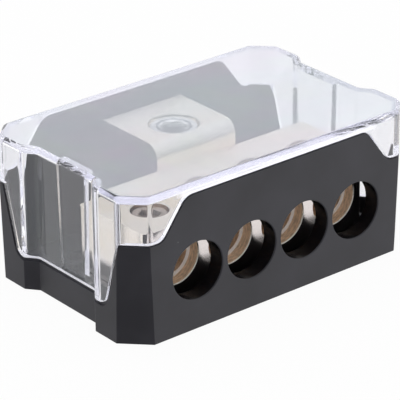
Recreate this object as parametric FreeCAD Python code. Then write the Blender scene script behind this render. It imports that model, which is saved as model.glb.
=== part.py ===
import FreeCAD, Part
import math
import os

from FreeCAD import Vector

# Power distribution block with one inlet and four outlets.
# Sizes are millimetres. The origin is the centre of the underside, +X runs along
# the length, +Z is up, the four outlets face -Y and the inlet faces +Y.

# Housing, a black tray whose ends are cut down for the cover
length = 84.0
width = 54.0
overall_height = 35.8
wall = 2.0
floor = 2.5
cover_band = 2.4
corner_height = 24.4
end_wall_height = 8.0
shoulder_from_end = 15.3
shoulder_run = 6.7
shoulder_round = 4.0
shoulder_foot_round = 3.0
front_post_side = 5.2
front_post_run = 4.7
back_post_side = 7.0
back_post_run = 4.5
post_round = 3.0
chamfer_low = 6.0
chamfer_high = 4.8
end_recess = 2.35
recess_half = 10.45
recess_run = 2.95
side_rebate_height = 0.3
end_rebate_height = 0.65
rebate_depth = 0.4

# Cable entries in the housing
outlet_count = 4
outlet_entry_radius = 7.0
inlet_entry_radius = 8.7
entry_bevel = 0.2
entry_pad = 2.2
entry_pad_margin = 1.2

# Cover, one clear moulding
cover_wall = 2.0
cover_top = 2.0
cover_seam = 0.1
cover_corner_round = 2.6
cover_recess_round = 2.0
cover_rim_round = 1.4
left_tongue_width = 10.1
left_tongue_offset = 1.3
right_tongue_width = 12.5
right_tongue_offset = 1.75
tongue_taper = 1.7
tongue_thickness = 1.4
tongue_clearance = 0.2
tongue_floor_gap = 1.2

# Terminal block, one plated T-shaped bar
front_gap = 5.6
back_gap = 2.7
end_gap = 3.75
pad_height = 3.1
bar_depth = 21.4
bar_height = 17.7
bar_end_margin = 9.025
bar_corner_round = 1.2
stem_width = 23.4
stem_headroom = 4.4
stem_round = 3.4
bore_height = 8.8
mouth_radius = 6.2
mouth_depth = 2.9
bore_radius = 5.2
inner_bore_depth = 17.8
outer_bore_depth = 19.2
inlet_bore_radius = 6.6
inlet_bore_web = 1.8
bore_bevel = 0.25

# Set screws
outlet_screw_radius = 4.0
outlet_screw_length = 2.8
outlet_screw_drop = 0.8
outlet_screw_setback = 9.9
outlet_socket_width = 4.0
outlet_socket_depth = 1.6
inlet_screw_radius = 6.0
inlet_screw_length = 7.4
inlet_screw_drop = 0.8
inlet_screw_offset = 1.75
inlet_socket_width = 6.0
inlet_socket_depth = 4.0
screw_clearance = 0.05
screw_bevel = 0.6

# Fixing screws, from below through the floor into the webs of the block
fixing_radius = 1.5
fixing_head_radius = 2.9
fixing_length = 9.0
fixing_boss_radius = 5.0
fixing_clearance = 0.1
fixing_socket_width = 2.0
fixing_socket_depth = 1.1
fixing_setback = 10.4

# Supports and mounting holes in the floor
rib_thickness = 1.4
rib_clearance = 0.2
rib_rise = 1.4
mount_hole_radius = 2.2
mount_hole_from_end = 17.0
mount_hole_from_back = 14.0
mount_boss_radius = 4.4
mount_boss_height = 1.5

# Places on the housing and the cover
side_wall_height = overall_height - cover_band
shoulder_half = length / 2 - shoulder_from_end
posts = [(1, back_post_side, back_post_run), (-1, front_post_side, front_post_run)]
cavity_top = overall_height - cover_top
end_inside = length / 2 - end_recess - wall
tongue_inside = length / 2 - end_recess - cover_wall - tongue_thickness
tongues = [(-1, -left_tongue_offset, left_tongue_width),
           (1, right_tongue_offset, right_tongue_width)]
tongue_bottom = floor + tongue_floor_gap
mount_hole_x = length / 2 - mount_hole_from_end
mount_hole_y = width / 2 - mount_hole_from_back

# Places on the terminal block
block_bottom = floor + pad_height
bar_top = block_bottom + bar_height
stem_top = cavity_top - stem_headroom
bore_z = block_bottom + bore_height
bar_front = -(width / 2 - wall - front_gap)
bar_back = bar_front + bar_depth
stem_back = width / 2 - wall - back_gap
bar_half = tongue_inside - end_gap
outlet_half = bar_half - bar_end_margin
outlet_pitch = 2 * outlet_half / (outlet_count - 1)
outlet_places = [i * outlet_pitch - outlet_half for i in range(outlet_count)]
outlet_screw_y = bar_front + outlet_screw_setback
inlet_bore_depth = stem_back - bar_back - inlet_bore_web
inlet_screw_y = (bar_back + stem_back) / 2 - inlet_screw_offset
fixing_places = [-outlet_pitch, outlet_pitch]
fixing_y = bar_front + fixing_setback

# How far cutters and sunk feet reach past a face, and how close a corner counts as at a height
past = 5.0
near_enough = 0.01


def box(x_low, x_high, y_low, y_high, z_low, z_high):
    return Part.makeBox(x_high - x_low, y_high - y_low, z_high - z_low,
                        Vector(x_low, y_low, z_low))


def polygon_face(points):
    return Part.Face(Part.makePolygon(points + points[:1]))


def rounded_face(points, radii):
    """A flat face with the given corners, each rounded to its radius."""
    edges = []
    starts = []
    ends = []
    count = len(points)
    for i in range(count):
        corner = points[i]
        to_last = points[i - 1] - corner
        to_next = points[(i + 1) % count] - corner
        half_angle = to_last.getAngle(to_next) / 2
        room = 0.45 * min(to_last.Length, to_next.Length)
        radius = min(radii[i], room * math.tan(half_angle))
        to_last.normalize()
        to_next.normalize()
        reach = radius / math.tan(half_angle)
        starts.append(corner + to_last * reach)
        ends.append(corner + to_next * reach)
        if radius > 0:
            inward = (to_last + to_next).normalize()
            middle = corner + inward * (radius / math.sin(half_angle) - radius)
            edges.append(Part.Arc(starts[i], middle, ends[i]).toShape())
    for i in range(count):
        edges.append(Part.LineSegment(ends[i], starts[(i + 1) % count]).toShape())
    return Part.Face(Part.Wire(Part.__sortEdges__(edges)))


def corner_chamfer(z):
    return chamfer_low + (chamfer_high - chamfer_low) * z / overall_height


def outline(z, inset):
    """Plan of the housing at a height, moved inwards by the inset."""
    half_length = length / 2 - inset
    half_width = width / 2 - inset
    leg = corner_chamfer(z) - inset * (2 - math.sqrt(2))
    recess_inner = recess_half + inset * math.tan(math.atan2(end_recess, recess_run) / 2)
    quarter = [
        (half_length - end_recess, recess_inner),
        (half_length, recess_inner + recess_run),
        (half_length, half_width - leg),
        (half_length - leg, half_width),
    ]
    places = list(quarter)
    places += [(-x, y) for x, y in reversed(quarter)]
    places += [(-x, -y) for x, y in quarter]
    places += [(x, -y) for x, y in reversed(quarter)]
    return [Vector(x, y, z) for x, y in places]


def plan_solid(z_low, z_high, inset=0.0):
    """The plan between two heights, with its corner chamfers drawn in towards the top."""
    low = outline(z_low, inset)
    high = outline(z_high, inset)
    faces = [polygon_face(low), polygon_face(high)]
    for i in range(len(low)):
        j = (i + 1) % len(low)
        faces.append(polygon_face([low[i], low[j], high[j], high[i]]))
    solid = Part.makeSolid(Part.makeShell(faces))
    if solid.Volume < 0:
        solid.reverse()
    return solid


def side_space(gap):
    """Everything above the long walls and the corner posts, less a gap."""
    drop = side_wall_height - corner_height
    shift = gap * math.tan(math.atan2(drop, shoulder_run) / 2)
    far = length / 2 + past
    high = overall_height + past
    upper = shoulder_half + shift
    lower = upper + shoulder_run
    half = [
        (upper, side_wall_height + gap, shoulder_round),
        (lower, corner_height + gap, shoulder_foot_round),
        (far, corner_height + gap, 0.0),
        (far, high, 0.0),
    ]
    corners = half + [(-x, z, radius) for x, z, radius in reversed(half)]
    y = -width / 2 - past
    face = rounded_face([Vector(x, y, z) for x, z, radius in corners],
                        [radius for x, z, radius in corners])
    return face.extrude(Vector(0, -2 * y, 0))


def end_space(gap):
    """Everything above the low end walls, between the corner posts, less a gap.

    The right end is the left end turned half round, so its posts change places.
    """
    drop = corner_height - end_wall_height
    high = overall_height + past
    halves = []
    for side, post_side, post_run in posts:
        shift = gap * math.tan(math.atan2(drop, post_run) / 2)
        upper = width / 2 - post_side - shift
        halves.append([
            (side * (upper - post_run), end_wall_height + gap, post_round),
            (side * upper, corner_height + gap, 0.0),
            (side * upper, high, 0.0),
        ])
    corners = halves[0] + halves[1][::-1]
    x = -length / 2 - past
    face = rounded_face([Vector(x, y, z) for y, z, radius in corners],
                        [radius for y, z, radius in corners])
    left_end = face.extrude(Vector(-x, 0, 0))
    right_end = left_end.copy()
    right_end.rotate(Vector(0, 0, 0), Vector(0, 0, 1), 180)
    return left_end.fuse(right_end)


def entry(x, y, radius, outward):
    """Cutter for a cable entry through a long wall, bevelled at its outer face."""
    hole = Part.makeCylinder(radius, 2 * (wall + entry_pad + past),
                             Vector(x, y - outward * (wall + entry_pad + past), bore_z),
                             Vector(0, outward, 0))
    bevel = Part.makeCone(radius, radius + entry_bevel, entry_bevel,
                          Vector(x, y - outward * entry_bevel, bore_z),
                          Vector(0, outward, 0))
    return hole.fuse(bevel)


def hex_prism(width_across, depth, x, y, z_top):
    """Hexagonal socket cutter that goes down from z_top."""
    radius = width_across / math.sqrt(3)
    points = []
    for i in range(6):
        angle = math.radians(60 * i + 30)
        points.append(Vector(x + radius * math.cos(angle), y + radius * math.sin(angle), z_top))
    return polygon_face(points).extrude(Vector(0, 0, -depth))


def base_housing():
    # The rim has a small rebate all round its outer edge
    body = plan_solid(0, overall_height).cut(side_space(-side_rebate_height))
    body = body.cut(end_space(-end_rebate_height))
    rim = plan_solid(0, overall_height, rebate_depth).cut(side_space(0)).cut(end_space(0))
    body = body.fuse(rim).cut(plan_solid(floor, overall_height, wall))

    # Pad inside the front wall, around the outlet entries
    inner_front = -(width / 2 - wall)
    pad_half = outlet_places[-1] + outlet_entry_radius + entry_pad_margin
    pad_top = min(bore_z + outlet_entry_radius + entry_pad_margin, corner_height)
    body = body.fuse(box(-pad_half, pad_half, inner_front - wall / 2, inner_front + entry_pad,
                         floor / 2, pad_top))

    # Bosses under the block for the fixing screws, and ribs round its foot
    for x in fixing_places:
        body = body.fuse(Part.makeCylinder(fixing_boss_radius, block_bottom - floor / 2,
                                           Vector(x, fixing_y, floor / 2)))
    rib_top = block_bottom + rib_rise
    for side in (-1, 1):
        near = bar_half + rib_clearance
        far = near + rib_thickness
        x_low, x_high = sorted((side * near, side * far))
        body = body.fuse(box(x_low, x_high, bar_front + bar_corner_round, bar_back - bar_corner_round,
                             floor / 2, rib_top))
        near = stem_width / 2 + rib_clearance
        far = near + rib_thickness
        x_low, x_high = sorted((side * near, side * far))
        body = body.fuse(box(x_low, x_high, bar_back + rib_thickness, stem_back, floor / 2, rib_top))
    body = body.fuse(box(-stem_width / 2, stem_width / 2, stem_back - rib_thickness, stem_back,
                         floor / 2, block_bottom))

    # Guide ribs either side of each cover tongue
    guide_reach = tongue_thickness + tongue_clearance
    for side, y, tongue_width in tongues:
        x_low, x_high = sorted((side * (end_inside - guide_reach), side * (end_inside + wall / 2)))
        for edge_side in (-1, 1):
            near = y + edge_side * (tongue_half(tongue_width, end_wall_height) + tongue_clearance)
            far = near + edge_side * rib_thickness
            y_low, y_high = sorted((near, far))
            body = body.fuse(box(x_low, x_high, y_low, y_high, floor / 2, end_wall_height))

    # Bosses with the two mounting holes
    for side in (-1, 1):
        place = Vector(side * mount_hole_x, mount_hole_y, floor / 2)
        body = body.fuse(Part.makeCylinder(mount_boss_radius, floor / 2 + mount_boss_height, place))
        place.z = -past
        body = body.cut(Part.makeCylinder(mount_hole_radius, floor + mount_boss_height + 2 * past,
                                          place))

    # Cable entries
    for x in outlet_places:
        body = body.cut(entry(x, -width / 2, outlet_entry_radius, -1))
    body = body.cut(entry(0, width / 2, inlet_entry_radius, 1))

    # Countersunk holes for the fixing screws
    head_depth = fixing_head_radius - fixing_radius
    for x in fixing_places:
        body = body.cut(Part.makeCylinder(fixing_radius + fixing_clearance, block_bottom + 2 * past,
                                          Vector(x, fixing_y, -past)))
        body = body.cut(Part.makeCone(fixing_head_radius + fixing_clearance,
                                      fixing_radius + fixing_clearance, head_depth,
                                      Vector(x, fixing_y, 0)))
    return body.removeSplitter()


def tongue_half(tongue_width, z):
    """Half the width at a height of a cover tongue, which tapers towards its lower end."""
    return (tongue_width - tongue_taper * (cavity_top - z) / (cavity_top - tongue_bottom)) / 2


def tongue_slab(x_low, x_high, y, tongue_width, z_low, z_high):
    low = tongue_half(tongue_width, z_low)
    high = tongue_half(tongue_width, z_high)
    corners = [(y - low, z_low), (y + low, z_low), (y + high, z_high), (y - high, z_high)]
    face = polygon_face([Vector(x_low, across, z) for across, z in corners])
    return face.extrude(Vector(x_high - x_low, 0, 0))


def cover_prism(z_low, z_high, inset):
    """Upright prism on the plan at the corner posts, with its corners rounded."""
    radii = []
    for point in outline(corner_height, inset):
        at_step = abs(point.y) < recess_half + recess_run + inset
        radii.append(cover_recess_round if at_step else cover_corner_round - inset)
    points = [Vector(point.x, point.y, z_low) for point in outline(corner_height, inset)]
    return rounded_face(points, radii).extrude(Vector(0, 0, z_high - z_low))


def clear_cover():
    shell = cover_prism(0, overall_height, 0)
    rim = [edge for edge in shell.Edges
           if min(vertex.Z for vertex in edge.Vertexes) > overall_height - near_enough]
    shell = shell.makeFillet(cover_rim_round, rim)
    cover = shell.common(side_space(cover_seam).fuse(end_space(cover_seam)))
    cover = cover.cut(cover_prism(-past, cavity_top, cover_wall))

    # A snap tongue at each end, a raised strip inside the end wall that goes down into the housing
    tongue_outside = tongue_inside + tongue_thickness
    for side, y, tongue_width in tongues:
        x_low, x_high = sorted((side * tongue_inside, side * (tongue_outside + cover_wall / 2)))
        upper = tongue_slab(x_low, x_high, y, tongue_width, end_wall_height + cover_seam,
                            cavity_top + cover_top / 2)
        x_low, x_high = sorted((side * tongue_inside, side * (end_inside - tongue_clearance)))
        lower = tongue_slab(x_low, x_high, y, tongue_width, tongue_bottom,
                            end_wall_height + 2 * cover_seam)
        cover = cover.fuse(upper).fuse(lower)
    return cover.removeSplitter()


def terminal_block():
    bar = box(-bar_half, bar_half, bar_front, bar_back, block_bottom, bar_top)
    upright = [edge for edge in bar.Edges
               if abs(edge.Vertexes[0].Z - edge.Vertexes[-1].Z) > bar_height / 2]
    bar = bar.makeFillet(bar_corner_round, upright)
    stem = box(-stem_width / 2, stem_width / 2, bar_back, stem_back, block_bottom, stem_top)
    front_top = [edge for edge in stem.Edges
                 if min(vertex.Z for vertex in edge.Vertexes) > stem_top - near_enough
                 and max(vertex.Y for vertex in edge.Vertexes) < bar_back + near_enough]
    stem = stem.makeFillet(stem_round, front_top)
    block = bar.fuse(stem).removeSplitter()

    # The bores in front of the stem stop a little sooner, to leave a wall before the inlet bore
    for x in outlet_places:
        along = Vector(0, 1, 0)
        behind_is_stem = abs(x) < stem_width / 2
        depth = inner_bore_depth if behind_is_stem else outer_bore_depth
        block = block.cut(Part.makeCylinder(mouth_radius, mouth_depth + past,
                                            Vector(x, bar_front - past, bore_z), along))
        block = block.cut(Part.makeCylinder(bore_radius, depth + past,
                                            Vector(x, bar_front - past, bore_z), along))
        block = block.cut(Part.makeCone(mouth_radius + bore_bevel, mouth_radius, bore_bevel,
                                        Vector(x, bar_front, bore_z), along))
        block = block.cut(screw_hole(x, outlet_screw_y, bar_top, outlet_screw_radius))
    along = Vector(0, -1, 0)
    block = block.cut(Part.makeCylinder(inlet_bore_radius, inlet_bore_depth + past,
                                        Vector(0, stem_back + past, bore_z), along))
    block = block.cut(Part.makeCone(inlet_bore_radius + bore_bevel, inlet_bore_radius, bore_bevel,
                                    Vector(0, stem_back, bore_z), along))
    block = block.cut(screw_hole(0, inlet_screw_y, stem_top, inlet_screw_radius))
    for x in fixing_places:
        block = block.cut(Part.makeCylinder(fixing_radius, fixing_length + fixing_clearance,
                                            Vector(x, fixing_y, 0)))
    return block.removeSplitter()


def screw_hole(x, y, z_top, radius):
    """Cutter for a tapped hole from the top of the block down into the bore below it."""
    hole_radius = radius + screw_clearance
    hole = Part.makeCylinder(hole_radius, z_top - bore_z + past, Vector(x, y, bore_z))
    bevel = Part.makeCone(hole_radius, hole_radius + bore_bevel, bore_bevel,
                          Vector(x, y, z_top - bore_bevel))
    return hole.fuse(bevel)


def set_screw(x, y, z_top, radius, screw_length, socket_width, socket_depth):
    """Set screw with a hexagon socket and a bevelled cup point."""
    z_low = z_top - screw_length
    shank = Part.makeCylinder(radius, screw_length, Vector(x, y, z_low))
    ends = [edge for edge in shank.Edges if len(edge.Vertexes) == 1]
    shank = shank.makeChamfer(screw_bevel, ends)
    cup = Part.makeCone(radius / 2, radius / 4, radius / 8, Vector(x, y, z_low))
    return shank.cut(hex_prism(socket_width, socket_depth, x, y, z_top)).cut(cup)


def block_fixing_screw(x):
    """Countersunk screw whose head is flush with the underside."""
    head_depth = fixing_head_radius - fixing_radius
    head = Part.makeCone(fixing_head_radius, fixing_radius, head_depth, Vector(x, fixing_y, 0))
    shank = Part.makeCylinder(fixing_radius, fixing_length, Vector(x, fixing_y, 0))
    socket = hex_prism(fixing_socket_width, fixing_socket_depth, x, fixing_y, fixing_socket_depth)
    return head.fuse(shank).removeSplitter().cut(socket)


def export(shape, node):
    if not shape.isValid():
        raise RuntimeError("shape of " + node + " is not valid")
    if len(shape.Solids) != 1:
        raise RuntimeError(node + " has " + str(len(shape.Solids)) + " solids")
    shape.Solids[0].exportStep("parts/" + node + ".step")
    limits = shape.BoundBox
    print(node, "volume", round(shape.Volume, 1), "x", round(limits.XMin, 2), round(limits.XMax, 2),
          "y", round(limits.YMin, 2), round(limits.YMax, 2),
          "z", round(limits.ZMin, 2), round(limits.ZMax, 2))


os.makedirs("parts", exist_ok=True)
export(base_housing(), "base_housing")
export(clear_cover(), "clear_cover")
export(terminal_block(), "terminal_block")
export(set_screw(0, inlet_screw_y, stem_top - inlet_screw_drop, inlet_screw_radius,
                 inlet_screw_length, inlet_socket_width, inlet_socket_depth), "inlet_set_screw")
for number, place in enumerate(outlet_places, 1):
    export(set_screw(place, outlet_screw_y, bar_top - outlet_screw_drop, outlet_screw_radius,
                     outlet_screw_length, outlet_socket_width, outlet_socket_depth),
           "outlet_set_screw_" + str(number))
for number, place in enumerate(fixing_places, 1):
    export(block_fixing_screw(place), "block_fixing_screw_" + str(number))
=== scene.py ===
import math

import bpy
from bpy.props import FloatProperty, FloatVectorProperty, IntProperty, PointerProperty
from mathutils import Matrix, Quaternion, Vector


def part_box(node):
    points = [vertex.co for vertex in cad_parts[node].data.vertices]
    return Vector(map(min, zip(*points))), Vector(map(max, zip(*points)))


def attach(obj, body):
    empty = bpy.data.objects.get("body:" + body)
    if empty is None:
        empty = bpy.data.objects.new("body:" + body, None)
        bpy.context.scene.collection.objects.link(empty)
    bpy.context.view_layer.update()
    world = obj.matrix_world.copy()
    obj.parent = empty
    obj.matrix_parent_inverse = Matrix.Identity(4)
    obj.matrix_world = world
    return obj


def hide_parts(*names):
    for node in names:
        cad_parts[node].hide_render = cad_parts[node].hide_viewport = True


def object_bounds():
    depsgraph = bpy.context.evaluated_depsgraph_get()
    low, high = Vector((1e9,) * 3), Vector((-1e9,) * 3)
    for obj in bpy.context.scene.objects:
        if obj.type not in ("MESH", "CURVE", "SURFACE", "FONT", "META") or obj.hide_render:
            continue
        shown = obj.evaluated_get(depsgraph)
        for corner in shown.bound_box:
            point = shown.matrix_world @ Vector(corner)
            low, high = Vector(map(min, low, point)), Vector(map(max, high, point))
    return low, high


bl_info = {
    "name": "Power Distribution Block",
    "version": (1, 0, 0),
    "blender": (4, 5, 0),
    "location": "View3D > Sidebar > Power Block",
    "description": "Dresses a cable power distribution block and sets up its studio",
    "category": "Object",
}

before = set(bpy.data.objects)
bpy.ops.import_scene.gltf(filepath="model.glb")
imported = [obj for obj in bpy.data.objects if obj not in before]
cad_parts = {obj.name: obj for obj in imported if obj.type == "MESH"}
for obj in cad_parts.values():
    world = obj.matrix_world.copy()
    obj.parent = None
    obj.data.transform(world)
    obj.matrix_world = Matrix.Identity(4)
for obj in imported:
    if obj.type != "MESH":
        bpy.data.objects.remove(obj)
case_low, case_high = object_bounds()

MM = 0.001
TURN = 2 * math.pi
WHITE = (1.0, 1.0, 1.0)

# Sizes of the solids, from the values in the part's source
ENTRY_RADIUS = 7.0 * MM
ENTRY_DEPTH = 4.2 * MM
BORE_HEIGHT = 8.8 * MM
BORE_DEPTH = 19.2 * MM
MOUTH_RADIUS = 6.2 * MM
COVER_PLATE = 2.0 * MM
COVER_SIDE = 2.3 * MM

# Proportions of a set screw. The thread is a wave whose crests and roots are cut flat, and its
# depth is a share of the pitch. The cup's rim is a share of the radius, its depth one of the rim.
THREAD_DEPTH = 0.54
THREAD_STEEPNESS = 1.35
THREAD_CREST = 0.12
ROWS_PER_PITCH = 14
CUP_RIM = 0.42
CUP_DEPTH = 0.5
SCREW_CHAMFER = 0.5 * MM


# Shader helpers

class Value:
    """A node socket that can be used in Python expressions. Each operator adds a Math node."""

    def __init__(self, finish, socket):
        self.finish = finish
        self.socket = socket

    def maths(self, operation, *others, clamp=False):
        settings = {"operation": operation, "use_clamp": clamp}
        inputs = dict(enumerate((self, *others)))
        return self.finish.node("ShaderNodeMath", settings, inputs)

    def reflected(self, operation, other):
        return self.finish.node("ShaderNodeMath", {"operation": operation}, {0: other, 1: self})

    def __add__(self, other):
        return self.maths("ADD", other)

    def __radd__(self, other):
        return self.reflected("ADD", other)

    def __sub__(self, other):
        return self.maths("SUBTRACT", other)

    def __rsub__(self, other):
        return self.reflected("SUBTRACT", other)

    def __mul__(self, other):
        return self.maths("MULTIPLY", other)

    def __rmul__(self, other):
        return self.reflected("MULTIPLY", other)

    def __truediv__(self, other):
        return self.maths("DIVIDE", other)

    def __gt__(self, other):
        return self.maths("GREATER_THAN", other)

    def __lt__(self, other):
        return self.maths("LESS_THAN", other)

    def clamped(self):
        return self.maths("ADD", 0.0, clamp=True)

    def ramp(self, low, high):
        """0 at low and 1 at high, held outside them."""
        inputs = {"Value": self, "From Min": low, "From Max": high, "To Min": 0.0, "To Max": 1.0}
        return self.finish.node("ShaderNodeMapRange", {"clamp": True}, inputs)


class Finish:
    """A procedural material or world, and the calls that build its node tree."""

    def __init__(self, name, kind="materials"):
        self.owner = getattr(bpy.data, kind).new(name)
        self.owner.use_nodes = True
        self.tree = self.owner.node_tree
        self.tree.nodes.clear()
        self.place = None

    def node(self, kind, settings=None, inputs=None, output=0):
        """Adds a node, sets its settings first and then the values or links of its sockets."""
        made = self.tree.nodes.new(kind)
        for name, value in (settings or {}).items():
            setattr(made, name, value)
        for name, value in (inputs or {}).items():
            socket = made.inputs[name]
            if isinstance(value, Value):
                self.tree.links.new(value.socket, socket)
            elif socket.type == "RGBA" and len(value) == 3:
                socket.default_value = (*value, 1.0)
            else:
                socket.default_value = value
        return Value(self, made.outputs[output]) if made.outputs else None

    def position(self):
        """The point on the piece in metres, in the part's own frame."""
        if self.place is None:
            self.place = self.node("ShaderNodeTexCoord", output="Object")
        return self.place

    def facing(self):
        """The direction that the surface faces, before any bump, along each axis."""
        return self.axes(self.node("ShaderNodeNewGeometry", output="True Normal"))

    def axes(self, vector):
        split = self.node("ShaderNodeSeparateXYZ", inputs={"Vector": vector})
        outputs = split.socket.node.outputs
        return [Value(self, outputs[name]) for name in ("X", "Y", "Z")]

    def stretched(self, x, y, z):
        """The position with each axis multiplied, for grain that runs one way."""
        inputs = {0: self.position(), 1: (x, y, z)}
        return self.node("ShaderNodeVectorMath", {"operation": "MULTIPLY"}, inputs)

    def noise(self, size, detail=2.0, roughness=0.5, vector=None):
        """Noise whose features are about size metres across."""
        inputs = {
            "Vector": vector or self.position(),
            "Scale": 1.0 / size,
            "Detail": detail,
            "Roughness": roughness,
        }
        return self.node("ShaderNodeTexNoise", inputs=inputs)

    def specks(self, spacing, size):
        """1 inside small round specks scattered at about the spacing, 0 elsewhere."""
        inputs = {"Vector": self.position(), "Scale": 1.0 / spacing}
        distance = self.node("ShaderNodeTexVoronoi", {"feature": "F1"}, inputs, "Distance")
        return 1 - distance.ramp(0.5 * size / spacing, size / spacing)

    def mixed(self, factor, first, second):
        inputs = {"Factor": factor, 6: first, 7: second}
        return self.node("ShaderNodeMix", {"data_type": "RGBA"}, inputs, 2)

    def bump(self, height, distance, strength):
        inputs = {"Height": height, "Distance": distance, "Strength": strength}
        return self.node("ShaderNodeBump", inputs=inputs)

    def principled(self, inputs):
        return self.node("ShaderNodeBsdfPrincipled", inputs=inputs)

    def layered(self, factor, under, over):
        """Two shaders mixed, where the factor is the share of the one over the other."""
        return self.node("ShaderNodeMixShader", inputs={0: factor, 1: under, 2: over})

    def light_path(self, name):
        return self.node("ShaderNodeLightPath", output=name)

    def finished(self, shader, volume=None):
        inputs = {"Surface": shader}
        if volume:
            inputs["Volume"] = volume
        self.node("ShaderNodeOutputMaterial", inputs=inputs)
        return self.owner


# Mesh helpers

def loft(name, rings):
    """A closed mesh through rings of points, each with the same number of points."""
    count = len(rings[0])
    points = [point for ring in rings for point in ring]
    last = len(points) - count
    faces = []
    for low in range(0, last, count):
        high = low + count
        for i in range(count):
            j = (i + 1) % count
            faces.append((low + i, low + j, high + j, high + i))
    faces.append(tuple(reversed(range(count))))
    faces.append(tuple(range(last, last + count)))
    mesh = bpy.data.meshes.new(name)
    mesh.from_pydata(points, [], faces)
    mesh.validate()
    piece = bpy.data.objects.new(name, mesh)
    bpy.context.scene.collection.objects.link(piece)
    return piece


def points_round(centre, z, radii):
    """Points at height z, evenly round the centre, each at its own radius."""
    ring = []
    for i, radius in enumerate(radii):
        angle = TURN * i / len(radii)
        ring.append((centre[0] + radius * math.cos(angle),
                     centre[1] + radius * math.sin(angle), z))
    return ring


def hexagon_radii(across, count):
    """How far a hexagon is from its middle at evenly spaced angles, from its width across flats."""
    radii = []
    for i in range(count):
        from_flat = (TURN * i / count + TURN / 12) % (TURN / 6) - TURN / 12
        radii.append(across / 2 / math.cos(from_flat))
    return radii


def soften_edges(piece, radius):
    """Rounds a piece's sharp edges by modifiers, which leave its mesh alone."""
    mesh = piece.data
    for name in ("custom_normal", "sharp_edge"):
        if name in mesh.attributes:
            mesh.attributes.remove(mesh.attributes[name])
    for polygon in mesh.polygons:
        polygon.use_smooth = True
    weld = piece.modifiers.new("Weld", "WELD")
    weld.merge_threshold = 0.002 * MM
    flat = piece.modifiers.new("Flat faces", "DECIMATE")
    flat.decimate_type = "DISSOLVE"
    flat.angle_limit = math.radians(0.6)
    bevel = piece.modifiers.new("Rounded edges", "BEVEL")
    bevel.limit_method = "ANGLE"
    bevel.angle_limit = math.radians(35)
    bevel.width = radius
    bevel.segments = 2
    bevel.miter_outer = "MITER_SHARP"
    normals = piece.modifiers.new("Face normals", "WEIGHTED_NORMAL")
    normals.mode = "FACE_AREA_WITH_ANGLE"
    normals.weight = 60


def give_finish(piece, material):
    piece.data.materials.clear()
    piece.data.materials.append(material)


# Settings

class CameraSettings(bpy.types.PropertyGroup):
    azimuth: FloatProperty(
        name="Azimuth", description="Direction of the view, seen from above",
        default=math.radians(-39.163), subtype="ANGLE")
    elevation: FloatProperty(
        name="Elevation", description="Height of the view above the horizon",
        default=math.radians(25.358), subtype="ANGLE")
    roll: FloatProperty(
        name="Roll", description="Turn of the camera about its own line of sight",
        default=math.radians(-0.542), subtype="ANGLE")
    distance: FloatProperty(
        name="Distance", description="From the camera to the point that it looks at",
        default=604.95 * MM, unit="LENGTH")
    target: FloatVectorProperty(
        name="Target", description="Point that the camera looks at",
        default=(-0.753 * MM, 0.049 * MM, 14.769 * MM), subtype="XYZ", unit="LENGTH")
    lens: FloatProperty(
        name="Lens", description="Focal length on a 36 mm wide sensor, in millimetres",
        default=234.0, min=1.0)


class StageSettings(bpy.types.PropertyGroup):
    floor_size: FloatProperty(
        name="Floor size", description="Side of the square floor",
        default=8.0, unit="LENGTH")
    floor_colour: FloatVectorProperty(
        name="Floor colour", description="Colour of the floor",
        default=(0.96, 0.96, 0.96), subtype="COLOR", min=0.0, max=1.0)
    floor_glow: FloatProperty(
        name="Floor glow", description="Share of plain white that the floor shows to the camera",
        default=0.95, min=0.0, max=1.0)
    dark_side: FloatProperty(
        name="Dark side", description="Direction, seen from above, of the studio's dark front",
        default=math.radians(-30.0), subtype="ANGLE")
    dark_light: FloatProperty(
        name="Dark side's light", description="Light that reflections show on the dark side",
        default=0.25, min=0.0, max=1.0)
    right_light: FloatProperty(
        name="Right light", description="Light that reflections show to the right of the dark side",
        default=1.0, min=0.0, max=1.0)
    left_light: FloatProperty(
        name="Left light", description="Light that reflections show to the left of the dark side",
        default=0.62, min=0.0, max=1.0)
    through_light: FloatProperty(
        name="Light through the cover", description="Light that comes in through the clear plastic",
        default=1.22, min=0.0)
    sky: FloatProperty(
        name="Sky", description="Light that the white studio gives, where 1 is full white",
        default=0.88, min=0.0)
    box_power: FloatProperty(
        name="Softbox", description="Power of the softbox behind the object, in watts",
        default=0.6, min=0.0)
    box_size: FloatVectorProperty(
        name="Softbox size", description="Width and height of the softbox",
        default=(0.7, 0.5), size=2, unit="LENGTH")
    box_colour: FloatVectorProperty(
        name="Softbox colour", description="Colour of the softbox",
        default=(0.95, 0.97, 1.0), subtype="COLOR", min=0.0, max=1.0)
    box_distance: FloatProperty(
        name="Softbox distance", description="From the object to the softbox",
        default=1.2, unit="LENGTH")
    box_height: FloatProperty(
        name="Softbox height", description="Elevation of the middle of the softbox",
        default=math.radians(62.0), subtype="ANGLE")


class HousingSettings(bpy.types.PropertyGroup):
    colour: FloatVectorProperty(
        name="Plastic", description="Colour of the moulded housing",
        default=(0.018, 0.0174, 0.0235), subtype="COLOR", min=0.0, max=1.0)
    roughness: FloatProperty(
        name="Roughness", description="Roughness of the moulded skin",
        default=0.3, min=0.0, max=1.0)
    entry_gloss: FloatProperty(
        name="Entry gloss", description="How much the round cable entries mirror",
        default=0.12, min=0.0, max=1.0)
    edge: FloatProperty(
        name="Edge round", description="Radius of the moulding's edges",
        default=0.25 * MM, unit="LENGTH")


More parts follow.
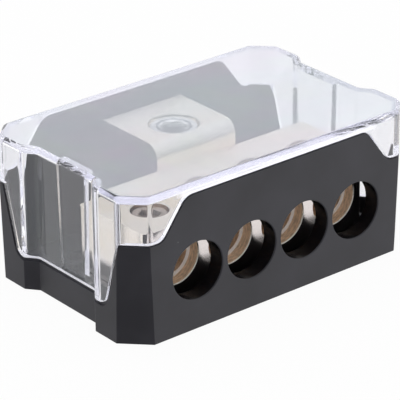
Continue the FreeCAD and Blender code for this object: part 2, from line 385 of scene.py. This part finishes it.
class CoverSettings(bpy.types.PropertyGroup):
    colour: FloatVectorProperty(
        name="Clear plastic", description="Colour of the clear cover",
        default=(0.98, 0.98, 1.0), subtype="COLOR", min=0.0, max=1.0)
    tint: FloatVectorProperty(
        name="Tint", description="Colour of light that has run along inside the plastic",
        default=(0.6, 0.6, 1.0), subtype="COLOR", min=0.0, max=1.0)
    tint_density: FloatProperty(
        name="Tint density", description="Strength of the tint for each metre of plastic",
        default=4.0, min=0.0)
    index: FloatProperty(
        name="Index", description="Refractive index of the clear plastic",
        default=1.57, min=1.0)
    haze: FloatProperty(
        name="Haze", description="Share of light that the skin of the top plate scatters",
        default=0.37, min=0.0, max=1.0)
    side_haze: FloatProperty(
        name="Side haze", description="Share of light that the other skins scatter",
        default=0.06, min=0.0, max=1.0)
    # The lower edges and the strip take a white skin with a painted glow, an emission, that stands
    # in for light piped through the plastic.
    seam_haze: FloatProperty(
        name="Seam haze", description="Share of light that the cover's lower edges scatter",
        default=0.85, min=0.0, max=1.0)
    strip_haze: FloatProperty(
        name="Strip haze", description="Share of light that the top plate's upright edge scatters",
        default=0.5, min=0.0, max=1.0)
    # Strength of the painted glow, an emission on the cover's lower edges and its upright strip.
    seam_glow: FloatProperty(
        name="Seam glow", description="Light that the clear plastic pipes to its edges",
        default=0.45, min=0.0)
    edge: FloatProperty(
        name="Edge round", description="Radius of the moulding's edges",
        default=0.2 * MM, unit="LENGTH")


class BlockSettings(bpy.types.PropertyGroup):
    plating: FloatVectorProperty(
        name="Plating", description="Colour of the plated faces",
        default=(1.0, 0.947, 0.86), subtype="COLOR", min=0.0, max=1.0)
    front: FloatVectorProperty(
        name="Front", description="Colour of the milled face that the cables enter",
        default=(0.80, 0.74, 0.72), subtype="COLOR", min=0.0, max=1.0)
    bore: FloatVectorProperty(
        name="Bore", description="Colour inside the drilled cable bores",
        default=(1.0, 0.74, 0.52), subtype="COLOR", min=0.0, max=1.0)
    roughness: FloatProperty(
        name="Roughness", description="Roughness of the satin plated faces",
        default=0.42, min=0.0, max=1.0)
    milled_roughness: FloatProperty(
        name="Milled roughness", description="Roughness of the face that the cables enter",
        default=0.2, min=0.0, max=1.0)
    metallic: FloatProperty(
        name="Metallic", description="How much the satin plate mirrors, and how little it scatters",
        default=0.35, min=0.0, max=1.0)
    edge: FloatProperty(
        name="Edge round", description="Radius of the block's machined edges",
        default=0.12 * MM, unit="LENGTH")


class ScrewSettings(bpy.types.PropertyGroup):
    steel: FloatVectorProperty(
        name="Steel", description="Colour of the plated steel screws",
        default=(0.75, 0.75, 0.75), subtype="COLOR", min=0.0, max=1.0)
    # The outlet screws' dark brown colour is painted shade and a painted reflection of the brown
    # holes round them.
    small_steel: FloatVectorProperty(
        name="Small screws", description="Colour of the outlet screws, which mirror brown holes",
        default=(0.42, 0.36, 0.32), subtype="COLOR", min=0.0, max=1.0)
    inlet_pitch: FloatProperty(
        name="Inlet pitch", description="Thread pitch of the inlet set screw",
        default=1.75 * MM, unit="LENGTH")
    outlet_pitch: FloatProperty(
        name="Outlet pitch", description="Thread pitch of the outlet set screws",
        default=1.25 * MM, unit="LENGTH")
    inlet_socket: FloatVectorProperty(
        name="Inlet socket", description="Width across flats and depth of the inlet socket",
        default=(6.0 * MM, 4.0 * MM), size=2, unit="LENGTH")
    outlet_socket: FloatVectorProperty(
        name="Outlet socket", description="Width across flats and depth of the outlet sockets",
        default=(4.0 * MM, 1.6 * MM), size=2, unit="LENGTH")
    edge: FloatProperty(
        name="Edge round", description="Radius of the fixing screws' edges",
        default=0.08 * MM, unit="LENGTH")
    facets: IntProperty(
        name="Facets", description="Points round each screw, a multiple of twelve",
        default=72, min=12)


# Finishes

def length_of(first, second):
    return (first * first + second * second).maths("SQRT")


def outlet_screws():
    return [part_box("outlet_set_screw_" + str(i + 1)) for i in range(4)]


def outlet_row(x, z):
    """How far across and up a point is from the axis of the nearest outlet."""
    middles = [(low.x + high.x) / 2 for low, high in outlet_screws()]
    pitch = (middles[-1] - middles[0]) / (len(middles) - 1)
    row = (x - middles[0] + pitch / 2) / pitch
    beyond = (row < 0.0) + (row > len(middles))
    across = (row - row.maths("FLOOR") - 0.5 + beyond) * pitch
    up = z - (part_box("terminal_block")[0].z + BORE_HEIGHT)
    return across, up


def housing_finish(settings):
    """Black moulded plastic: a fine skin, faint flow marks, specks of dust, and painted shade
    inside the cable entries.
    """
    finish = Finish("Black moulded plastic")
    cloud = finish.noise(14 * MM, detail=3.0)
    fine = finish.noise(0.35 * MM)
    dust = finish.specks(7.0 * MM, 0.16 * MM)
    base = tuple(settings.colour)
    paler = tuple(1.5 * c + 0.004 for c in base)
    grey = (0.3, 0.3, 0.3)
    colour = finish.mixed(cloud.ramp(0.3, 0.7), base, paler)
    skin = finish.principled({
        "Base Color": finish.mixed(dust * 0.5, colour, grey),
        "Roughness": settings.roughness + 0.08 * cloud + 0.06 * fine + 0.2 * dust,
        "Normal": finish.bump(fine * 0.6 + dust * 2.0, 0.006 * MM, 0.5),
    })

    x, y, z = finish.axes(finish.position())
    front = case_low.y
    # Painted shade: the walls inside the round cable entries take a plastic a fifth as bright as
    # the rest.
    entries = length_of(*outlet_row(x, z)) < ENTRY_RADIUS + 0.1 * MM
    entries = entries * (y > front + 0.25 * MM) * (y < front + ENTRY_DEPTH + 0.1 * MM)
    dark = finish.principled({
        "Base Color": tuple(0.2 * c for c in base),
        "Roughness": 0.25,
        "Specular IOR Level": settings.entry_gloss,
    })
    return finish.finished(finish.layered(entries, skin, dark))


def cover_finish(settings):
    """Clear moulded plastic: a faint haze on its skins, and a painted glow, an emission, on its
    lower edges and on the top plate's upright strip.
    """
    finish = Finish("Clear moulded plastic")
    inside = finish.node("ShaderNodeNewGeometry", output="Backfacing")
    outside = 1 - inside
    x, _, z = finish.axes(finish.position())
    slope = finish.facing()[2] * (1 - 2 * inside)
    top = case_high.z
    plate = (z > top - 0.05 * MM) * (slope > 0.9)
    seam = (slope < -0.6) * (z < top - COVER_PLATE - 0.1 * MM)
    strip = (slope < 0.3) * (slope > -0.3) * (z > top - COVER_SIDE - 0.05 * MM) * outside
    end = case_high.x
    strip = strip * (1 - x.maths("ABSOLUTE").ramp(end - 14.5 * MM, end - 11.5 * MM))

    glass = finish.principled({
        "Base Color": tuple(settings.colour),
        "Roughness": 0.0,
        "IOR": settings.index,
        "Transmission Weight": 1.0,
        "Normal": finish.bump(finish.noise(9 * MM, detail=1.0), 0.02 * MM, 0.25),
    })

    blue, violet, green = (0.77, 0.87, 0.96), (0.84, 0.81, 0.97), (0.80, 0.89, 0.89)
    flow = finish.noise(22 * MM, vector=finish.stretched(0.6, 1.4, 1.0))
    drift = finish.noise(13 * MM, detail=1.0, vector=finish.stretched(1.3, 0.7, 1.0))
    pastel = finish.mixed(flow.ramp(0.35, 0.65), blue, violet)
    pastel = finish.mixed(0.6 * drift.ramp(0.5, 0.75), pastel, green)
    haze = finish.principled({"Base Color": pastel, "Roughness": 0.6})
    cloud = finish.noise(16 * MM, detail=3.0)
    plate_share = settings.haze + 0.06 * (cloud - 0.5)
    share = (plate * plate_share + (1 - plate) * settings.side_haze) * outside

    # Painted glow: a white skin with an emission on the cover's lower edges and the top plate's
    # upright strip.
    painted_glow = finish.principled({
        "Base Color": (0.93, 0.93, 0.99),
        "Roughness": 0.6,
        "Emission Color": (0.93, 0.93, 1.0),
        "Emission Strength": settings.seam_glow,
    })
    painted_glow_share = seam * settings.seam_haze + strip * settings.strip_haze
    tint = finish.node("ShaderNodeVolumeAbsorption", inputs={
        "Color": tuple(settings.tint), "Density": settings.tint_density})
    skinned = finish.layered(share, glass, haze)
    return finish.finished(finish.layered(painted_glow_share, skinned, painted_glow), tint)


def plated_finish(settings):
    """Satin nickel plate, brown inside the drilled bores, with painted shade on the walls of the
    tapped holes.
    """
    finish = Finish("Satin nickel plate")
    block_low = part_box("terminal_block")[0]
    screw_low, screw_high = outlet_screws()[0]
    screw_y = (screw_low.y + screw_high.y) / 2
    hole_radius = (screw_high.y - screw_low.y) / 2 + 0.3 * MM
    front = block_low.y

    x, y, z = finish.axes(finish.position())
    across, up = outlet_row(x, z)
    normal = finish.facing()
    inside = length_of(across, up) < MOUTH_RADIUS + 0.12 * MM
    inside = inside * (y > front + 0.2 * MM) * (y < front + BORE_DEPTH + 0.2 * MM)
    shoulder = inside * (normal[1] < -0.9)
    bores = inside - shoulder
    # Painted shade: the walls of the tapped holes for the outlet screws are dark brown.
    tapped_shade = (length_of(across, y - screw_y) < hole_radius) * (normal[2] < 0.5)
    tapped_shade = tapped_shade * (z > screw_low.z) * (y < front + 21.0 * MM)
    milled = y < front + 0.05 * MM
    # Rounded faces tilted upward take a paler colour: a painted highlight.
    rounded = (normal[2] > 0.2) * (normal[2] < 0.97) * (1 - bores)
    satin = normal[2].ramp(0.0, 0.25) * (1 - bores) + shoulder

    grain = finish.noise(0.5 * MM, detail=3.0, vector=finish.stretched(0.2, 1.0, 1.0))
    cloud = finish.noise(9 * MM)
    pits = finish.noise(0.7 * MM, detail=4.0, roughness=0.7,
                        vector=finish.stretched(0.4, 1.6, 0.4))
    plate = tuple(settings.plating)
    warm = (plate[0], plate[1] * 0.97, plate[2] * 0.91)
    brown = tuple(settings.bore)
    # A darker brown, for the pits inside the bores and as painted shade in the tapped holes.
    pit_and_shade_brown = tuple(0.5 * c for c in brown)
    # The second colour is a painted highlight for the rounded faces tilted upward.
    pale, edge_highlight = (1.0, 0.96, 0.93), (1.0, 0.965, 0.88)
    colour = finish.mixed(cloud.ramp(0.35, 0.65), plate, warm)
    drilled = finish.mixed(pits.ramp(0.3, 0.6), pit_and_shade_brown, brown)
    colour = finish.mixed(bores, colour, drilled)
    colour = finish.mixed(shoulder, colour, pale)
    colour = finish.mixed(tapped_shade, colour, pit_and_shade_brown)
    colour = finish.mixed(milled, colour, tuple(settings.front))
    colour = finish.mixed(rounded, colour, edge_highlight)

    duller = settings.roughness - settings.milled_roughness
    roughness = settings.milled_roughness + 0.1 * (grain - 0.5) + 0.06 * (cloud - 0.5)
    roughness = roughness + 0.22 * bores + satin * duller
    height = grain * (1 - bores) * 0.5 + pits * bores * 2.0
    return finish.finished(finish.principled({
        "Base Color": colour,
        "Metallic": 1 - 0.85 * bores - 0.3 * shoulder - satin * (1 - settings.metallic),
        "Roughness": roughness,
        "Normal": finish.bump(height, 0.012 * MM, 0.5),
    }))


def steel_finish(colour, name, socket=None):
    """Plated steel with fine marks. A socket (x, y, top, radius) has painted light on its walls, a
    painted highlight at the top fading to painted shade lower down, and a ring of painted shade
    round its rim.
    """
    finish = Finish(name)
    marks = finish.noise(0.25 * MM)
    cloud = finish.noise(3 * MM)
    darker = tuple(0.8 * c for c in colour)
    varied = finish.mixed(cloud.ramp(0.3, 0.7), tuple(colour), darker)
    upward = finish.facing()[2]
    metallic = 0.35 + 0.65 * (upward > 0.5)
    if socket:
        middle_x, middle_y, top, radius = socket
        # Painted light in the socket: a highlight at the top of its walls, shade lower down, and a
        # shaded ring round its rim.
        wall_highlight, depth_shade, rim_shade = (0.98, 0.97, 0.95), (0.22, 0.22, 0.24), (0.16, 0.16, 0.18)
        x, y, z = finish.axes(finish.position())
        distance = length_of(x - middle_x, y - middle_y)
        walls = (distance < radius) * (upward < 0.5)
        wall_light_and_shade = finish.mixed((top - z).ramp(0.9 * MM, 1.9 * MM), wall_highlight, depth_shade)
        rim = (distance > radius) * (distance < radius + 0.6 * MM)
        varied = finish.mixed(walls, varied, wall_light_and_shade)
        varied = finish.mixed(rim, varied, rim_shade)
        metallic = metallic - 0.3 * walls
    return finish.finished(finish.principled({
        "Base Color": varied,
        "Metallic": metallic,
        "Roughness": 0.24 + 0.12 * marks,
        "Normal": finish.bump(marks, 0.01 * MM, 0.4),
    }))


def floor_finish(settings):
    """Pale floor that keeps the shadow, near white to the camera and open to reflections."""
    finish = Finish("Pale floor")
    through = finish.light_path("Is Transmission Ray")
    seen = (finish.light_path("Is Camera Ray") + through).clamped()
    mirrored = finish.light_path("Is Glossy Ray") * (1 - through)
    base = tuple(settings.floor_colour)
    dimmer = tuple(0.985 * c for c in base)
    surface = finish.principled({
        "Base Color": finish.mixed(finish.noise(0.4), base, dimmer),
        "Roughness": 0.9,
        "Specular IOR Level": 0.0,
    })
    white = finish.node("ShaderNodeEmission", inputs={"Color": WHITE, "Strength": 1.0})
    clear = finish.node("ShaderNodeBsdfTransparent", inputs={"Color": WHITE})
    lit = finish.layered(seen * settings.floor_glow, surface, white)
    return finish.finished(finish.layered(mirrored, lit, clear))


def studio_sky(settings):
    """White to the camera and through the clear plastic, with a dark front in reflections."""
    sky = Finish("Studio", "worlds")
    x, y, _ = sky.axes(sky.node("ShaderNodeTexCoord", output="Generated"))
    flat = (x * x + y * y).maths("SQRT") + 0.001
    sine = math.sin(settings.dark_side)
    cosine = math.cos(settings.dark_side)
    forward = (x * sine - y * cosine) / flat
    rightward = 0.5 + 0.5 * (x * cosine + y * sine) / flat
    side_light = settings.left_light + rightward * (settings.right_light - settings.left_light)
    reflected = side_light + forward.ramp(0.35, 0.85) * (settings.dark_light - side_light)
    through = sky.light_path("Is Transmission Ray")
    mirrored = sky.light_path("Is Glossy Ray") * (1 - through)
    strength = settings.sky + mirrored * (reflected - settings.sky)
    strength = strength + through * (settings.through_light - strength)
    strength = strength + sky.light_path("Is Camera Ray") * (1 - strength)
    light = sky.node("ShaderNodeBackground", inputs={"Color": WHITE, "Strength": strength})
    sky.node("ShaderNodeOutputWorld", inputs={"Surface": light})
    return sky.owner


# Operators

def view_back(settings):
    """The direction from the object to the camera."""
    flat = math.cos(settings.elevation)
    return Vector((math.sin(settings.azimuth) * flat, -math.cos(settings.azimuth) * flat,
                   math.sin(settings.elevation)))


class POWERBLOCK_OT_camera(bpy.types.Operator):
    """Put the camera where the product picture was taken from"""

    bl_idname = "powerblock.camera"
    bl_label = "Place Camera"

    def execute(self, context):
        settings = context.scene.powerblock_camera
        data = bpy.data.cameras.new("Camera")
        data.lens = settings.lens
        data.sensor_width = 36.0
        data.clip_start = 0.01
        data.clip_end = 20.0
        camera = bpy.data.objects.new("Camera", data)
        context.scene.collection.objects.link(camera)
        back = view_back(settings)
        camera.rotation_mode = "QUATERNION"
        facing = (-back).to_track_quat("-Z", "Y")
        camera.rotation_quaternion = facing @ Quaternion((0, 0, 1), settings.roll)
        camera.location = Vector(settings.target) + back * settings.distance
        context.scene.camera = camera
        return {"FINISHED"}


class POWERBLOCK_OT_stage(bpy.types.Operator):
    """Add the floor, the white studio and its softbox"""

    bl_idname = "powerblock.stage"
    bl_label = "Build Stage"

    def execute(self, context):
        settings = context.scene.powerblock_stage
        scene = context.scene
        scene.view_settings.view_transform = "Standard"
        half = settings.floor_size / 2
        corners = [(-half, -half), (half, -half), (half, half), (-half, half)]
        just_under = -0.02 * MM
        mesh = bpy.data.meshes.new("Floor")
        mesh.from_pydata([(x, y, just_under) for x, y in corners], [], [(0, 1, 2, 3)])
        floor = bpy.data.objects.new("Floor", mesh)
        scene.collection.objects.link(floor)
        give_finish(floor, floor_finish(settings))
        scene.world = studio_sky(settings)
        self.add_softbox(settings)
        # The clear plastic is a light guide, so its edges need long paths.
        long_paths = 32
        scene.cycles.max_bounces = long_paths
        scene.cycles.transmission_bounces = long_paths
        scene.cycles.glossy_bounces = long_paths
        return {"FINISHED"}

    def add_softbox(self, settings):
        """A softbox that stands behind the object, where the top of the cover mirrors it."""
        data = bpy.data.lights.new("Softbox", "AREA")
        data.shape = "RECTANGLE"
        data.size = settings.box_size[0]
        data.size_y = settings.box_size[1]
        data.color = settings.box_colour
        data.energy = settings.box_power
        azimuth = bpy.context.scene.powerblock_camera.azimuth
        flat = math.cos(settings.box_height)
        towards = Vector((-math.sin(azimuth) * flat, math.cos(azimuth) * flat,
                          math.sin(settings.box_height)))
        lamp = bpy.data.objects.new("Softbox", data)
        lamp.location = Vector((0.0, 0.0, case_high.z)) + towards * settings.box_distance
        lamp.rotation_mode = "QUATERNION"
        lamp.rotation_quaternion = (-towards).to_track_quat("-Z", "Y")
        bpy.context.scene.collection.objects.link(lamp)


class POWERBLOCK_OT_housing(bpy.types.Operator):
    """Finish the black housing"""

    bl_idname = "powerblock.housing"
    bl_label = "Finish Housing"

    def execute(self, context):
        settings = context.scene.powerblock_housing
        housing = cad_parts["base_housing"]
        give_finish(housing, housing_finish(settings))
        soften_edges(housing, settings.edge)
        return {"FINISHED"}


class POWERBLOCK_OT_cover(bpy.types.Operator):
    """Finish the clear cover"""

    bl_idname = "powerblock.cover"
    bl_label = "Finish Cover"

    def execute(self, context):
        settings = context.scene.powerblock_cover
        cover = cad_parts["clear_cover"]
        give_finish(cover, cover_finish(settings))
        soften_edges(cover, settings.edge)
        return {"FINISHED"}


class POWERBLOCK_OT_block(bpy.types.Operator):
    """Finish the plated terminal block"""

    bl_idname = "powerblock.block"
    bl_label = "Finish Terminal Block"

    def execute(self, context):
        settings = context.scene.powerblock_block
        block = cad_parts["terminal_block"]
        give_finish(block, plated_finish(settings))
        soften_edges(block, settings.edge)
        return {"FINISHED"}


class POWERBLOCK_OT_screws(bpy.types.Operator):
    """Build the threaded set screws and finish the fixing screws"""

    bl_idname = "powerblock.screws"
    bl_label = "Build Screws"

    def execute(self, context):
        settings = context.scene.powerblock_screws
        low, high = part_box("inlet_set_screw")
        mouth_radius = 3.6 * MM
        socket = ((low.x + high.x) / 2, (low.y + high.y) / 2, high.z, mouth_radius)
        steel = steel_finish(settings.steel, "Plated screw steel", socket)
        # Painted shade: the outlet screws take a dark brown steel.
        small_steel = steel_finish(settings.small_steel, "Small screw steel with painted shade")
        self.set_screw("inlet_set_screw", "inlet_screw", settings.inlet_pitch,
                       settings.inlet_socket, settings.facets, steel)
        for i in range(1, 5):
            self.set_screw("outlet_set_screw_" + str(i), "outlet_screw_" + str(i),
                           settings.outlet_pitch, settings.outlet_socket, settings.facets,
                           small_steel)
        for i in range(1, 3):
            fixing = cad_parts["block_fixing_screw_" + str(i)]
            give_finish(fixing, steel)
            soften_edges(fixing, settings.edge)
        return {"FINISHED"}

    def set_screw(self, node, body, pitch, socket, facets, steel):
        """A threaded screw with a hexagon socket and a cup point, in place of its plain solid."""
        low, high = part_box(node)
        centre = ((low.x + high.x) / 2, (low.y + high.y) / 2)
        radius = (high.x - low.x) / 2 - 0.01 * MM
        depth = THREAD_DEPTH * pitch
        end_radius = radius - SCREW_CHAMFER
        cup = CUP_RIM * radius
        across, socket_depth = socket
        mouth = across / 2 / math.cos(TURN / 12) + 0.12 * MM
        socket_floor = high.z - socket_depth
        hexagon = hexagon_radii(across, facets)

        def circle(z, wide):
            return points_round(centre, z, [wide] * facets)

        rings = [
            circle(low.z + CUP_DEPTH * cup, 0.3 * cup),
            circle(low.z, cup),
            circle(low.z, radius - depth - 0.1 * MM),
        ]
        rows = int((high.z - low.z) / (pitch / ROWS_PER_PITCH))
        for row in range(1, rows):
            z = low.z + (high.z - low.z) * row / rows
            chamfered = end_radius + min(z - low.z, high.z - z)
            radii = []
            for i in range(facets):
                wave = abs(2 * ((z / pitch - i / facets) % 1.0) - 1)
                groove = max(0.0, min(1.0, wave * THREAD_STEEPNESS - THREAD_CREST))
                radii.append(min(radius - depth * groove, chamfered))
            rings.append(points_round(centre, z, radii))
        rings += [
            circle(high.z, end_radius),
            circle(high.z, mouth),
            points_round(centre, high.z - 0.25 * MM, hexagon),
            points_round(centre, socket_floor, hexagon),
            circle(socket_floor - 0.15 * across, 0.05 * across),
        ]
        piece = loft(node + "_threaded", rings)
        for polygon in piece.data.polygons:
            polygon.use_smooth = True
        split = piece.modifiers.new("Sharp edges", "EDGE_SPLIT")
        split.split_angle = math.radians(32)
        give_finish(piece, steel)
        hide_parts(node)
        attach(piece, body)


class POWERBLOCK_PT_panel(bpy.types.Panel):
    """Buttons for each step"""

    bl_idname = "POWERBLOCK_PT_panel"
    bl_label = "Power Distribution Block"
    bl_space_type = "VIEW_3D"
    bl_region_type = "UI"
    bl_category = "Power Block"

    def draw(self, context):
        for step in STEPS:
            self.layout.operator(step.bl_idname)
        for name, group in GROUPS.items():
            box = self.layout.box()
            box.label(text=name.title())
            for prop in group.__annotations__:
                box.prop(getattr(context.scene, "powerblock_" + name), prop)


GROUPS = {
    "camera": CameraSettings,
    "stage": StageSettings,
    "housing": HousingSettings,
    "cover": CoverSettings,
    "block": BlockSettings,
    "screws": ScrewSettings,
}
STEPS = (
    POWERBLOCK_OT_camera,
    POWERBLOCK_OT_stage,
    POWERBLOCK_OT_housing,
    POWERBLOCK_OT_cover,
    POWERBLOCK_OT_block,
    POWERBLOCK_OT_screws,
)
CLASSES = (*GROUPS.values(), *STEPS, POWERBLOCK_PT_panel)


def register():
    for item in CLASSES:
        bpy.utils.register_class(item)
    for name, group in GROUPS.items():
        setattr(bpy.types.Scene, "powerblock_" + name, PointerProperty(type=group))


def unregister():
    for name in GROUPS:
        delattr(bpy.types.Scene, "powerblock_" + name)
    for item in reversed(CLASSES):
        bpy.utils.unregister_class(item)


def main():
    register()
    bpy.ops.powerblock.camera()
    bpy.ops.powerblock.stage()
    bpy.ops.powerblock.housing()
    bpy.ops.powerblock.cover()
    bpy.ops.powerblock.block()
    bpy.ops.powerblock.screws()


if __name__ == "__main__":
    main()
